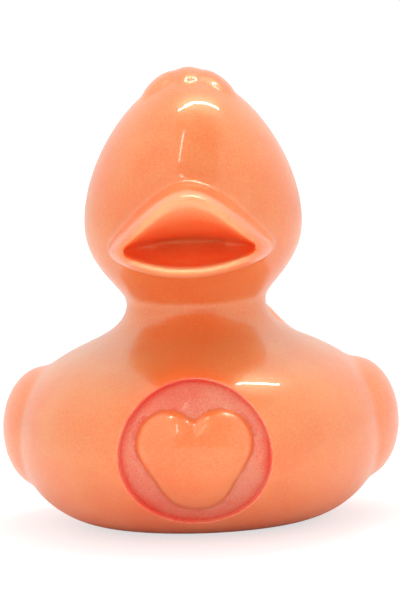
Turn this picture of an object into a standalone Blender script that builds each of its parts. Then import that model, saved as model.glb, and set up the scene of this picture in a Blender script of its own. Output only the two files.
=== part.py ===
"""Heart-medallion bath duck: one hollow moulding of soft vinyl.

The duck faces -Y and stands on a flat foot in the plane Z = 0.
The main hull (body, tail, neck and head) is a loft. Four meridians, side, front, back
and tail, run from the foot up to the crown, and each ring of the loft passes through them.
Wings, bill and tuft are joined to the hull. The mouth, the round medallion recess, the
hollow and the vent hole are cut from it, and the raised heart stands in the recess.
"""
import math

import bmesh
import bpy
import numpy as np
from mathutils import Vector
from mathutils.bvhtree import BVHTree

# Body, in metres
FLANK_WIDTH = 0.0724
FLANK_HEIGHT = 0.0175
CHEST_REACH = 0.0420
CHEST_HEIGHT = 0.0195
RUMP_REACH = 0.0345
RUMP_HEIGHT = 0.0165
FOOT_WIDTH = 0.0380
FOOT_FRONT = 0.0175
FOOT_REAR = 0.0190

# Tail and back
TAIL_REACH = 0.0430
TAIL_HEIGHT = 0.0420
TAIL_CURL = 0.0034
TAIL_WIDTH = 0.0335
TAIL_SQUARENESS = 6
SADDLE_REACH = 0.0235
SADDLE_HEIGHT = 0.0322

# Neck and head
NECK_HEIGHT = 0.0436
NECK_WIDTH = 0.0272
NECK_FRONT = 0.0140
NECK_BACK = 0.0140
HEAD_WIDTH = 0.0428
HEAD_HEIGHT = 0.0588
FACE_REACH = 0.0235
FACE_HEIGHT = 0.0640
POLL_REACH = 0.0215
POLL_HEIGHT = 0.0630
CROWN_HEIGHT = 0.0878

# Fullness of the meridians, as shares of the run or rise between their points
SIDE_BOWL = (0.45, 0.60)
FRONT_BOWL = (0.30, 0.50)
REAR_BOWL = (0.45, 0.60)
SIDE_SHOULDER = (0.74, 0.40)
CHEST = (0.72, 0.34)
BACK = (0.72, 0.36)
THROAT = (0.15, 0.55)
SIDE_DOME = (0.46, 0.46)
FACE_DOME = (0.52, 0.52)
TAIL_UNDERSIDE = (0.42, 0.22)
SADDLE_LENGTH = 0.50
NAPE_TURN = 0.55
NAPE_CLIMB = 0.60

# Wings
WING_FRONT = 0.0165
WING_REAR = 0.0270
WING_HEIGHT = 0.0240
WING_LEVEL = 0.0186
WING_LIFT = 0.0050
WING_PROUD = 0.0031
WING_SPLAY = 0.0035
WING_ROOT = 0.0052
WING_TAPER = 0.42
WING_TAPER_POWER = 1.5

# Bill and mouth
BILL_WIDTH = 0.0320
UPPER_BILL_REACH = 0.0368
LOWER_BILL_REACH = 0.0352
BILL_ROOT = 0.0170
BILL_RISE = 0.0122
BILL_DROP = 0.0056
BILL_ARCH = 0.90
BILL_ARCH_POWER = 1.7
BILL_UPTURN = 0.0016
UPPER_BILL_SQUARENESS = 4.0
LOWER_BILL_SQUARENESS = 3.0
BILL_UNDERCUT = 0.5
MOUTH_LEVEL = 0.0564
MOUTH_WIDTH = 0.0270
MOUTH_GAPE = 0.0112
MOUTH_DISH = 0.0032
LIP_SAG = 0.0020
THROAT_SILL = 0.0007
MOUTH_ROUNDNESS = 1.75
MOUTH_FLARE = 2.0
MOUTH_CORNER = 0.45
THROAT_REACH = 0.0185
THROAT_WIDTH = 0.0232
THROAT_GAP = 0.0014
LIP_THICKNESS = 0.0020
LOWER_LIP = 0.0011

# Tuft of curls on the crown
TUFT_RISE = 0.0016
TUFT_WIDTH = 0.0172
TUFT_ROOT = 0.0030
CURL_LENGTH = 0.0135
CURL_COUNT = 3
CURL_OVERLAP = 1.30
CURL_FAN = 44.0
TUFT_FALL = 0.05

# Medallion on the chest
MEDALLION_WIDTH = 0.0293
MEDALLION_LENGTH = 0.0286
MEDALLION_HEIGHT = 0.0182
RECESS_DEPTH = 0.0019
RECESS_DRAFT = 0.0006
HEART_WIDTH = 0.0225
HEART_LENGTH = 0.0202
HEART_DROP = 0.0011
HEART_LOBE_RADIUS = 0.0064
HEART_TIP_RADIUS = 0.0072
HEART_CLEFT_RADIUS = 0.0016
HEART_PROUD = 0.0009
HEART_DRAFT = 0.0010
HEART_ROUNDING = 0.55
HEART_FALL = 0.0023

# Shell
WALL = 0.0022
TAIL_TIP_FILL = 0.0095
TAIL_TIP_DROP = 0.0068
VENT_DIAMETER = 0.0040
VENT_SETBACK = 0.0060

# How finely the surfaces are drawn
RING_POINTS = 52
SPAN_RINGS = {"foot": 7, "underside": 6, "shoulder": 5, "saddle": 5, "neck": 8, "head": 9}
HOLLOW_POINTS = 28
HOLLOW_RINGS = {"foot": 4, "underside": 4, "shoulder": 4, "saddle": 4, "neck": 5, "head": 5}
OUTLINE_POINTS = 56
MOUTH_POINTS = 15
ARC_STEPS = 40
SKIN_DETAIL = 3
REACH_PAST = 0.0040
BEYOND = 0.2

VINYL_COLOUR = (0.93, 0.27, 0.10, 1.0)
VINYL_ROUGHNESS = 0.35
VINYL_COAT = 0.8


def cubic(start, start_handle, end_handle, end, steps):
    """Points of a cubic curve after its start, from handles given relative to the ends."""
    p0, p3 = np.array(start), np.array(end)
    p1, p2 = p0 + np.array(start_handle), p3 + np.array(end_handle)
    t = np.linspace(0.0, 1.0, steps + 1)[1:, None]
    u = 1.0 - t
    return u ** 3 * p0 + 3 * u ** 2 * t * p1 + 3 * u * t ** 2 * p2 + t ** 3 * p3


def bowl(edge, belly, flatness, fullness, steps):
    """From the edge of the foot, level, out and up to the widest point, upright."""
    out, rise = belly[0] - edge[0], belly[1] - edge[1]
    return cubic(edge, (flatness * out, 0.0), (0.0, -fullness * rise), belly, steps)


def sweep(lower, upper, low_share, high_share, steps):
    """Between two upright points, as at a shoulder or under a chin."""
    rise = upper[1] - lower[1]
    return cubic(lower, (0.0, low_share * rise), (0.0, -high_share * rise), upper, steps)


def dome(widest, top, side_share, top_share, steps):
    """From an upright point at the widest level over to the level top in the middle."""
    rise = top[1] - widest[1]
    return cubic(widest, (0.0, side_share * rise), (top_share * widest[0], 0.0), top, steps)


def meridian(foot, belly, neck, head, shares, wall, rings):
    """Reach and height from the middle of the foot to the crown; wall moves it inward."""
    middle = (0.0, wall)
    edge, belly = (foot - wall, wall), (belly[0] - wall, belly[1])
    neck, head = (neck[0] - wall, neck[1]), (head[0] - wall, head[1])
    crown = (0.0, CROWN_HEIGHT - wall)
    climb = rings["underside"] + rings["shoulder"] + rings["saddle"]
    return np.vstack([
        [middle, edge],
        bowl(edge, belly, *shares["bowl"], rings["foot"]),
        sweep(belly, neck, *shares["shoulder"], climb),
        sweep(neck, head, *shares["neck"], rings["neck"]),
        dome(head, crown, *shares["dome"], rings["head"]),
    ])


def side_meridian(wall, rings):
    """Half widths up the flank, shoulder, neck and cheek."""
    shares = {"bowl": SIDE_BOWL, "shoulder": SIDE_SHOULDER, "neck": THROAT, "dome": SIDE_DOME}
    return meridian(FOOT_WIDTH / 2, (FLANK_WIDTH / 2, FLANK_HEIGHT),
                    (NECK_WIDTH / 2, NECK_HEIGHT), (HEAD_WIDTH / 2, HEAD_HEIGHT),
                    shares, wall, rings)


def front_meridian(wall, rings):
    """Reach of the chest, throat and face towards the front."""
    shares = {"bowl": FRONT_BOWL, "shoulder": CHEST, "neck": THROAT, "dome": FACE_DOME}
    return meridian(FOOT_FRONT, (CHEST_REACH, CHEST_HEIGHT), (NECK_FRONT, NECK_HEIGHT),
                    (FACE_REACH, FACE_HEIGHT), shares, wall, rings)


def back_meridian(wall, rings):
    """Reach of the rump, nape and poll towards the rear, beside the tail."""
    shares = {"bowl": REAR_BOWL, "shoulder": BACK, "neck": THROAT, "dome": FACE_DOME}
    return meridian(FOOT_REAR, (RUMP_REACH, RUMP_HEIGHT), (NECK_BACK, NECK_HEIGHT),
                    (POLL_REACH, POLL_HEIGHT), shares, wall, rings)


def tail_meridian(wall, rings):
    """The back meridian with its stretch from rump to nape drawn out over the tail."""
    curve = back_meridian(wall, rings)
    rump = (RUMP_REACH - wall, RUMP_HEIGHT)
    tip = (TAIL_REACH, TAIL_HEIGHT)
    if wall:
        tip = (TAIL_REACH - TAIL_TIP_FILL, TAIL_HEIGHT - TAIL_TIP_DROP)
    saddle = (SADDLE_REACH - wall / 2, SADDLE_HEIGHT - wall)
    neck = (NECK_BACK - wall, NECK_HEIGHT)
    forward = SADDLE_LENGTH * (tip[0] - saddle[0])
    turn = NAPE_TURN * (saddle[0] - neck[0])
    climb = NAPE_CLIMB * (neck[1] - saddle[1])
    over = np.vstack([
        sweep(rump, tip, *TAIL_UNDERSIDE, rings["underside"]),
        cubic(tip, (0.0, TAIL_CURL - wall), (forward, 0.0), saddle, rings["shoulder"]),
        cubic(saddle, (-turn, 0.0), (0.0, -climb), neck, rings["saddle"]),
    ])
    start = 2 + rings["foot"]
    curve[start:start + len(over)] = over
    return curve


def hull_points(wall, rings, around):
    """Rings of the loft: each passes through the side, front, back and tail meridians."""
    turn = np.linspace(0.0, 2 * math.pi, around, endpoint=False)
    cosine, sine = np.cos(turn), np.sin(turn)
    to_rear = sine > 0
    curves = [make(wall, rings) for make in
              (side_meridian, front_meridian, back_meridian, tail_meridian)]
    points = []
    for side, front, back, tail in zip(*curves):
        x = side[0] * cosine
        ridge = np.where(to_rear, sine ** 2 / (1.0 + (2 * x / TAIL_WIDTH) ** TAIL_SQUARENESS), 0.0)
        reach = np.where(to_rear, back[0], front[0]) + (tail[0] - back[0]) * ridge
        height = np.where(to_rear, back[1], front[1]) - side[1]
        z = side[1] + height * sine ** 2 + (tail[1] - back[1]) * ridge
        points.append(np.column_stack([x, reach * sine, z]))
    return points


def lofted_mesh(name, rings):
    """Closed mesh through rings of points whose first and last rings close on a point.

    Four-sided faces are split along their shorter diagonal, which follows the tail's ridge.
    """
    mesh = bmesh.new()
    first = mesh.verts.new(rings[0].mean(axis=0))
    last = mesh.verts.new(rings[-1].mean(axis=0))
    loops = [[mesh.verts.new(point) for point in ring] for ring in rings[1:-1]]
    count = len(loops[0])
    for i in range(count):
        j = (i + 1) % count
        mesh.faces.new((first, loops[0][j], loops[0][i]))
        mesh.faces.new((last, loops[-1][i], loops[-1][j]))
        for lower, upper in zip(loops, loops[1:]):
            mesh.faces.new((lower[i], lower[j], upper[j], upper[i]))
    bmesh.ops.recalc_face_normals(mesh, faces=mesh.faces)
    bmesh.ops.triangulate(mesh, faces=mesh.faces, quad_method='SHORT_EDGE')
    data = bpy.data.meshes.new(name)
    mesh.to_mesh(data)
    mesh.free()
    return data


def add_object(name, data, collection):
    """Put a mesh in the scene as a named object."""
    thing = bpy.data.objects.new(name, data)
    collection.objects.link(thing)
    return thing


def add_tool(name, data, collection):
    """A shape that is only joined to or cut from the duck, shown as wires."""
    tool = add_object(name, data, collection)
    tool.hide_render = True
    tool.display_type = 'WIRE'
    return tool


def combine(target, tool, operation):
    """Join a tool to the target or cut it away, as a Boolean that stays on the target."""
    step = target.modifiers.new(operation.lower() + "_" + tool.name, 'BOOLEAN')
    step.object = tool
    step.operation = operation
    step.solver = 'EXACT'


def shaped_ball(name, shape, segments, rows):
    """A round ball whose points are moved by a function of their place on the ball."""
    mesh = bmesh.new()
    bmesh.ops.create_uvsphere(mesh, u_segments=segments, v_segments=rows, radius=1.0)
    for vert in mesh.verts:
        vert.co = shape(vert.co.copy())
    bmesh.ops.recalc_face_normals(mesh, faces=mesh.faces)
    data = bpy.data.meshes.new(name)
    mesh.to_mesh(data)
    mesh.free()
    return data


def flank_reach(y):
    """Half width of the body at a place along its length, splayed behind for the wings."""
    reach = CHEST_REACH if y < 0 else RUMP_REACH + WING_SPLAY
    return FLANK_WIDTH / 2 * math.sqrt(max(0.0, 1.0 - (y / reach) ** 2))


def wing_shape(side):
    """Drop-shaped pad along the flank, blunt in front, with a lifted tip behind."""
    middle = (WING_REAR - WING_FRONT) / 2
    half = (WING_REAR + WING_FRONT) / 2

    def place(ball):
        along = ball.z
        taper = 1.0 - WING_TAPER * max(0.0, along) ** WING_TAPER_POWER
        y = middle + half * along
        x = flank_reach(y) - WING_ROOT + ball.x * (WING_ROOT + WING_PROUD) * taper
        lift = WING_LIFT * max(0.0, along) ** 2
        z = WING_LEVEL + lift + ball.y * WING_HEIGHT / 2 * taper
        return Vector((side * x, y, z))

    return place


def bill_shape(ball):
    """Wide bill: an arched top with an upturned lip, and below it a lip that sags."""
    plan = math.hypot(ball.x, ball.y)
    power = UPPER_BILL_SQUARENESS if ball.z > 0 else LOWER_BILL_SQUARENESS
    height = max(0.0, 1.0 - plan ** power) ** (1.0 / power)
    equator = MOUTH_LEVEL - LOWER_LIP - LIP_SAG * (1.0 - ball.x ** 2)
    reach = UPPER_BILL_REACH if ball.z > 0 else LOWER_BILL_REACH
    if abs(ball.z) < 1e-6:
        reach = max(UPPER_BILL_REACH, LOWER_BILL_REACH)
    x = ball.x * BILL_WIDTH / 2
    y = -BILL_ROOT + ball.y * (reach - BILL_ROOT)
    if ball.z > 0:
        rise = BILL_RISE + BILL_UPTURN * max(0.0, -ball.y) ** 2
        face = MOUTH_LEVEL + rise * (1.0 - BILL_ARCH * abs(ball.x) ** BILL_ARCH_POWER)
    else:
        face = MOUTH_LEVEL - BILL_DROP * (1.0 - BILL_UNDERCUT * ball.x ** 2)
    return Vector((x, y, equator + height * (face - equator)))


def mouth_outline(width, gape, dish, count):
    """Half-moon seen from the front: a dished floor below and an arched roof above."""
    roof = np.linspace(1.0, -1.0, count)
    arch = [(width / 2 * share, gape * (1.0 - abs(share) ** MOUTH_ROUNDNESS)) for share in roof]
    floor = [(width / 2 * share, -dish * (1.0 - share ** 2)) for share in -roof[1:-1]]
    return np.array(arch + floor)


def mouth_points(grow):
    """Rings of the open mouth, from the throat forward past the lips."""
    lips = UPPER_BILL_REACH - LIP_THICKNESS
    corners = BILL_ROOT + MOUTH_CORNER * (LOWER_BILL_REACH - BILL_ROOT)
    lower_lip = LOWER_BILL_REACH - LIP_THICKNESS
    stations = [(THROAT_REACH - grow, -THROAT_SILL), (corners, MOUTH_DISH),
                ((corners + lower_lip) / 2, MOUTH_DISH), (lower_lip, LIP_SAG),
                (UPPER_BILL_REACH + REACH_PAST, LIP_SAG)]
    rings = []
    for reach, dish in stations:
        share = min(1.0, max(0.0, (reach - THROAT_REACH) / (corners - THROAT_REACH)))
        width = THROAT_WIDTH + (MOUTH_WIDTH - THROAT_WIDTH) * share + 2 * grow
        opened = max(0.0, (reach - THROAT_REACH) / (lips - THROAT_REACH)) ** MOUTH_FLARE
        gape = THROAT_GAP + (MOUTH_GAPE - THROAT_GAP) * opened + 2 * grow
        outline = mouth_outline(width, gape, dish + grow, MOUTH_POINTS)
        rings.append(np.array([(x, -reach, MOUTH_LEVEL + z) for x, z in outline]))
    return [rings[0]] + rings + [rings[-1]]


def curl_shape(index, skin):
    """One soft curl of the tuft, lying on the crown; the curls spread towards the front."""
    share = index / (CURL_COUNT - 1) - 0.5
    lean = math.radians(CURL_FAN) * share
    width = CURL_OVERLAP * TUFT_WIDTH / CURL_COUNT
    middle = share * (TUFT_WIDTH - width)
    rise = TUFT_RISE * (1.0 - TUFT_FALL * (2 * share) ** 2)

    def place(ball):
        along, across = ball.y * CURL_LENGTH / 2, ball.x * width / 2
        x = middle + across * math.cos(lean) - along * math.sin(lean)
        y = across * math.sin(lean) + along * math.cos(lean)
        crown = skin.ray_cast(Vector((x, y, BEYOND)), Vector((0.0, 0.0, -1.0)))[0].z
        return Vector((x, y, crown + ball.z * (rise if ball.z > 0 else TUFT_ROOT)))

    return place


def arc(centre, radius, start, end, count):
    """Points along an arc, angles in radians."""
    return [(centre[0] + radius * math.cos(a), centre[1] + radius * math.sin(a))
            for a in np.linspace(start, end, count)]


def evenly(points, count):
    """The same closed outline, with points at equal steps along it."""
    loop = np.array(points + [points[0]])
    steps = np.linalg.norm(np.diff(loop, axis=0), axis=1)
    run = np.concatenate([[0.0], np.cumsum(steps)])
    marks = np.linspace(0.0, run[-1], count, endpoint=False)
    return np.column_stack([np.interp(marks, run, loop[:, k]) for k in (0, 1)])


def heart_outline():
    """Heart of two round lobes, a rounded tip and a filleted cleft, about its middle."""
    lobe_x = HEART_WIDTH / 2 - HEART_LOBE_RADIUS
    lobe_z = HEART_LENGTH / 2 - HEART_LOBE_RADIUS
    tip_z = HEART_TIP_RADIUS - HEART_LENGTH / 2
    apart = HEART_LOBE_RADIUS + HEART_CLEFT_RADIUS
    cleft_z = lobe_z + math.sqrt(apart ** 2 - lobe_x ** 2)
    cleft = math.atan2(cleft_z - lobe_z, -lobe_x)
    length = math.hypot(lobe_x, lobe_z - tip_z)
    slope = math.atan2(lobe_z - tip_z, lobe_x)
    side = slope - math.acos((HEART_TIP_RADIUS - HEART_LOBE_RADIUS) / length)
    lobe = arc((lobe_x, lobe_z), HEART_LOBE_RADIUS, cleft, side, ARC_STEPS)
    tip = arc((0.0, tip_z), HEART_TIP_RADIUS, side, -math.pi / 2, ARC_STEPS)
    dip = arc((0.0, cleft_z), HEART_CLEFT_RADIUS, -math.pi / 2, cleft - math.pi, ARC_STEPS)
    right = dip + lobe + tip
    left = [(-x, z) for x, z in reversed(right)]
    return evenly(right + left, OUTLINE_POINTS)


def oval_outline(width, length):
    """Oval outline about its middle."""
    turns = np.linspace(0.0, 2 * math.pi, OUTLINE_POINTS, endpoint=False)
    return np.column_stack([width / 2 * np.cos(turns), length / 2 * np.sin(turns)])


def inward(outline, distance):
    """The outline moved in by a distance, by drawing each point towards the middle."""
    reach = np.linalg.norm(outline, axis=1, keepdims=True)
    return outline * (1.0 - distance / reach)


def chest_relief(name, skin, middle, levels):
    """Solid that follows the chest. Each level is an outline and its height above it."""
    rings = []
    for outline, height in levels:
        ring = []
        for x, z in outline:
            start = Vector((x, -BEYOND, middle + z))
            hit = skin.ray_cast(start, Vector((0.0, 1.0, 0.0)))[0]
            ring.append((x, hit.y - height, middle + z))
        rings.append(np.array(ring))
    return lofted_mesh(name, rings)


def recess_levels(grow, depth):
    """From the curved floor of the recess up its tapered wall and past the chest."""
    rim = oval_outline(MEDALLION_WIDTH + 2 * grow, MEDALLION_LENGTH + 2 * grow)
    floor = inward(rim, RECESS_DRAFT)
    past = inward(rim, -RECESS_DRAFT * REACH_PAST / RECESS_DEPTH)
    inner = [(floor * share, -depth) for share in (0.0, 0.25, 0.5, 0.75, 1.0)]
    outer = [(past * share, REACH_PAST) for share in (1.0, 0.6, 0.0)]
    return inner + [(rim, 0.0)] + outer


def heart_levels():
    """From inside the wall up the heart's sides and over its rounded edge."""
    base = heart_outline()
    edge = inward(base, HEART_DRAFT)
    root = -RECESS_DEPTH - WALL / 2
    levels = [(base * share, root) for share in (0.0, 0.5, 1.0)]
    levels.append((base, -RECESS_DEPTH))
    for turn in np.linspace(0.0, math.pi / 2, 6):
        height = HEART_PROUD - HEART_FALL * (1.0 - math.sin(turn))
        levels.append((edge * (1.0 - HEART_ROUNDING * (1.0 - math.cos(turn))), height))
    crest = levels[-1][0]
    return levels + [(crest * share, HEART_PROUD) for share in (0.66, 0.33, 0.0)]


def vent_mesh(name):
    """Round hole through the foot."""
    mesh = bmesh.new()
    bmesh.ops.create_cone(mesh, cap_ends=True, segments=24, radius1=VENT_DIAMETER / 2,
                          radius2=VENT_DIAMETER / 2, depth=4 * WALL)
    bmesh.ops.translate(mesh, verts=mesh.verts, vec=(0.0, VENT_SETBACK, WALL / 2))
    data = bpy.data.meshes.new(name)
    mesh.to_mesh(data)
    mesh.free()
    return data


def vinyl():
    """Glossy pearl orange vinyl."""
    material = bpy.data.materials.new("pearl_orange_vinyl")
    material.use_nodes = True
    shader = material.node_tree.nodes["Principled BSDF"]
    shader.inputs["Base Color"].default_value = VINYL_COLOUR
    shader.inputs["Roughness"].default_value = VINYL_ROUGHNESS
    shader.inputs["Metallic"].default_value = 0.0
    shader.inputs["Coat Weight"].default_value = VINYL_COAT
    return material


def hollow_tool(tools, skin):
    """The hollow, held back behind the mouth and the medallion by the wall."""
    rings = hull_points(WALL, HOLLOW_RINGS, HOLLOW_POINTS)
    hollow = add_tool("hollow", lofted_mesh("hollow", rings), tools)
    keep = add_tool("mouth_wall", lofted_mesh("mouth_wall", mouth_points(WALL)), tools)
    combine(hollow, keep, 'DIFFERENCE')
    levels = recess_levels(WALL / 2, RECESS_DEPTH + WALL)
    backing = chest_relief("medallion_wall", skin, MEDALLION_HEIGHT, levels)
    keep = add_tool("medallion_wall", backing, tools)
    combine(hollow, keep, 'DIFFERENCE')
    return hollow


def fine_skin():
    """The hull drawn finely, as the surface that the relief and the curls follow."""
    fine = {span: SKIN_DETAIL * count for span, count in SPAN_RINGS.items()}
    data = lofted_mesh("skin", hull_points(0.0, fine, SKIN_DETAIL * RING_POINTS))
    mesh = bmesh.new()
    mesh.from_mesh(data)
    skin = BVHTree.FromBMesh(mesh)
    mesh.free()
    bpy.data.meshes.remove(data)
    return skin


def build():
    """Clear the scene and model the duck."""
    for thing in list(bpy.data.objects):
        bpy.data.objects.remove(thing, do_unlink=True)
    parts = bpy.data.collections.new("rubber_duck")
    tools = bpy.data.collections.new("duck_tools")
    for collection in (parts, tools):
        bpy.context.scene.collection.children.link(collection)

    rings = hull_points(0.0, SPAN_RINGS, RING_POINTS)
    duck = add_object("duck", lofted_mesh("duck", rings), parts)
    duck.data.materials.append(vinyl())
    skin = fine_skin()

    for side, name in ((1, "wing_left"), (-1, "wing_right")):
        wing = add_tool(name, shaped_ball(name, wing_shape(side), 22, 20), tools)
        combine(duck, wing, 'UNION')
    bill = add_tool("bill", shaped_ball("bill", bill_shape, 40, 16), tools)
    combine(duck, bill, 'UNION')
    for index in range(CURL_COUNT):
        name = "curl_%d" % (index + 1)
        curl = add_tool(name, shaped_ball(name, curl_shape(index, skin), 14, 8), tools)
        combine(duck, curl, 'UNION')
    mouth = add_tool("mouth", lofted_mesh("mouth", mouth_points(0.0)), tools)
    combine(duck, mouth, 'DIFFERENCE')
    levels = recess_levels(0.0, RECESS_DEPTH)
    recess = chest_relief("recess", skin, MEDALLION_HEIGHT, levels)
    combine(duck, add_tool("recess", recess, tools), 'DIFFERENCE')
    heart = chest_relief("heart", skin, MEDALLION_HEIGHT - HEART_DROP, heart_levels())
    combine(duck, add_tool("heart", heart, tools), 'UNION')
    combine(duck, hollow_tool(tools, skin), 'DIFFERENCE')
    combine(duck, add_tool("vent", vent_mesh("vent"), tools), 'DIFFERENCE')
    duck.data.shade_smooth()


build()
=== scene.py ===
"""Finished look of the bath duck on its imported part, laid out as an add-on.

The duck is one moulding, so it is one piece here too. It is drawn again from the part's
sizes, finely enough for soft blends where wings and bill leave the hull and for a crisp
medallion. Two things are shaped a little differently from the part's: the lips, which are
rolled out and rounded, and the edge of the heart. The hollow is the part's own.
"""
import math

import bmesh
import bpy
import numpy as np
from bpy.props import FloatProperty, FloatVectorProperty, IntProperty, PointerProperty
from mathutils import Matrix, Vector
from mathutils.bvhtree import BVHTree


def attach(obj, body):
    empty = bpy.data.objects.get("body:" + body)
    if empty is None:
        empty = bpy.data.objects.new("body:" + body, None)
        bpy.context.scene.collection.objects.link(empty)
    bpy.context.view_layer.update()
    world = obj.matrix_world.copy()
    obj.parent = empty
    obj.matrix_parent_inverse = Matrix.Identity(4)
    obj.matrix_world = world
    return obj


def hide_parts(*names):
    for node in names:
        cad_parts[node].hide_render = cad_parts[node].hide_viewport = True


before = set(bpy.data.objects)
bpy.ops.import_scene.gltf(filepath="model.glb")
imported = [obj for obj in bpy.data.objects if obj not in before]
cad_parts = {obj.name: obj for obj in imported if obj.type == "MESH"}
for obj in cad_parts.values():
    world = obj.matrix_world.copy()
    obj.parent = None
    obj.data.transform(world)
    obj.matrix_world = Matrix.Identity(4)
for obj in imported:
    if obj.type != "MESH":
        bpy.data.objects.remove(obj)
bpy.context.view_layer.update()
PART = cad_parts["duck"]

bl_info = {
    "name": "Bath Duck",
    "version": (1, 0, 0),
    "blender": (4, 5, 0),
    "location": "3D View > Sidebar > Bath Duck",
    "description": "Builds a vinyl bath duck with a heart medallion, and its studio",
    "category": "Object",
}

# Fullness of the hull's meridians, as shares of the run or rise between their points
SIDE_BOWL = (0.45, 0.60)
FRONT_BOWL = (0.30, 0.50)
REAR_BOWL = (0.45, 0.60)
SIDE_SHOULDER = (0.74, 0.40)
CHEST = (0.72, 0.34)
BACK = (0.72, 0.36)
THROAT = (0.15, 0.55)
SIDE_DOME = (0.46, 0.46)
FACE_DOME = (0.52, 0.52)
TAIL_UNDERSIDE = (0.42, 0.22)
SADDLE_LENGTH = 0.50
NAPE_TURN = 0.55
NAPE_CLIMB = 0.60

# Powers and shares of the forms that are set on the hull
TAIL_SQUARENESS = 6
WING_TAPER_POWER = 1.5
BILL_SQUARENESS_ABOVE, BILL_SQUARENESS_BELOW = 4.0, 3.0
BILL_UNDERCUT = 0.5
MOUTH_ROUNDNESS = 1.75
MOUTH_CORNERS = 0.45
MOUTH_PAST_LIPS = 0.004
LIP_FADE = 0.004

# How finely the surfaces are drawn
RING_POINTS = 176
SPAN_RINGS = {"foot": 16, "underside": 24, "shoulder": 20, "saddle": 18, "neck": 28, "head": 40}
RELIEF_POINTS = 220
RECESS_RINGS = 13
HEART_RINGS = 17
CREST_RINGS = 12
RIM_LEANS = (0.0, 15.0, 30.0, 45.0, 60.0, 72.0)
MOUTH_POINTS = 41
MOUTH_RINGS = 24
ARC_STEPS = 60
WING_BALL = (64, 48)
BILL_BALL = (120, 48)
CURL_BALL = (40, 24)
BORE_SIDES = 48
SMOOTHING = 0.5
SHARP_FROM = 42.0
EQUATOR = 1e-6
WELD = 1e-7

# Pattern and skin of the vinyl, and where the painted sheen on its lips begins and ends along Y and
# Z
CLOUDS_PER_METRE = 70.0
RIPPLES_PER_METRE = 160.0
RIPPLE_STRENGTH = 0.12
RIPPLE_HEIGHT = 0.0004
TOOTH_HEIGHT = 0.0001
FLECK_WEIGHT = 1.2
PEARL_SPAN = (0.88, 1.28)
FROSTED_SPAN = (0.98, 1.20)
FROSTED_LIGHTER = 2.0
FROSTED_TOOTH = 1.0
FROSTED_COAT = 0.1
COAT_ROUGHNESS = 0.03
COAT_INDEX = 2.1
DEPTH_WEIGHT = 0.8
DEPTH_RADIUS = (1.0, 0.45, 0.20)
DEPTH_SCALE = 0.005
LIP_BACK, LIP_FRONT = -0.0295, -0.0360
LIP_UNDER, LIP_OVER = 0.0480, 0.0505

# Studio; each lamp has its place, the point it faces, its width and its depth
FLOOR_HALF = 4.0
FLOOR_SEEN = 0.45
FLOOR_GLOW = 0.66
GAP_SOFTNESS = 0.03
GAP_FOOT = (-0.02, 0.03)
GAP_BACK = (0.12, 0.06)
OVERHEAD_LAMP = ((0.125, 0.165, 0.70), (0.125, 0.165, 0.0), 0.57, 0.035)
FRONT_LAMP = ((-0.12, -0.43, 0.69), (0.0, 0.0, 0.075), 0.03, 0.45)
FILL_LAMP = ((0.0, -0.9, 0.10), (0.0, 0.0, 0.05), 0.6, 0.4)
SENSOR = 36.0
NEAREST_SEEN = 0.01


def length(label, default, text):
    """A size of the duck in metres."""
    return FloatProperty(name=label, description=text, default=default, unit='LENGTH',
                         precision=4)


def share(label, default, text):
    """A number from 0 to 1."""
    return FloatProperty(name=label, description=text, default=default, min=0.0, max=1.0,
                         subtype='FACTOR')


def colour(label, default, text):
    """A colour as it should render."""
    return FloatVectorProperty(name=label, description=text, default=default, size=4,
                               min=0.0, max=1.0, subtype='COLOR')


def angle(label, degrees, text):
    """An angle, given here in degrees."""
    return FloatProperty(name=label, description=text, default=math.radians(degrees),
                         unit='ROTATION', subtype='ANGLE')


class BathDuckHull(bpy.types.PropertyGroup):
    """Body, tail, neck and head."""

    flank_width: length("Flank Width", 0.0724, "Widest part of the body, without the wings")
    flank_height: length("Flank Height", 0.0175, "Where the body is widest")
    chest_reach: length("Chest Reach", 0.0420, "Chest in front of the middle")
    chest_height: length("Chest Height", 0.0195, "Where the chest reaches furthest")
    rump_reach: length("Rump Reach", 0.0345, "Rump behind the middle")
    rump_height: length("Rump Height", 0.0165, "Where the rump reaches furthest")
    foot_width: length("Foot Width", 0.0380, "Flat foot, side to side")
    foot_front: length("Foot Front", 0.0175, "Flat foot in front of the middle")
    foot_rear: length("Foot Rear", 0.0190, "Flat foot behind the middle")
    tail_reach: length("Tail Reach", 0.0430, "Tip of the tail behind the middle")
    tail_height: length("Tail Height", 0.0420, "Tip of the tail above the floor")
    tail_curl: length("Tail Curl", 0.0034, "How far the tip curls over")
    tail_width: length("Tail Width", 0.0335, "Width of the tail")
    saddle_reach: length("Saddle Reach", 0.0235, "Lowest point of the back")
    saddle_height: length("Saddle Height", 0.0322, "Height of the lowest point of the back")
    neck_height: length("Neck Height", 0.0436, "Narrowest part of the neck")
    neck_width: length("Neck Width", 0.0272, "Neck, side to side")
    neck_reach: length("Neck Reach", 0.0140, "Neck in front of and behind the middle")
    head_width: length("Head Width", 0.0428, "Widest part of the head")
    head_height: length("Head Height", 0.0588, "Where the head is widest")
    face_reach: length("Face Reach", 0.0235, "Face in front of the middle")
    face_height: length("Face Height", 0.0640, "Where the face reaches furthest")
    poll_reach: length("Poll Reach", 0.0215, "Back of the head behind the middle")
    poll_height: length("Poll Height", 0.0630, "Where the back of the head reaches furthest")
    crown_height: length("Crown Height", 0.0878, "Top of the head under the tuft")


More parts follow.
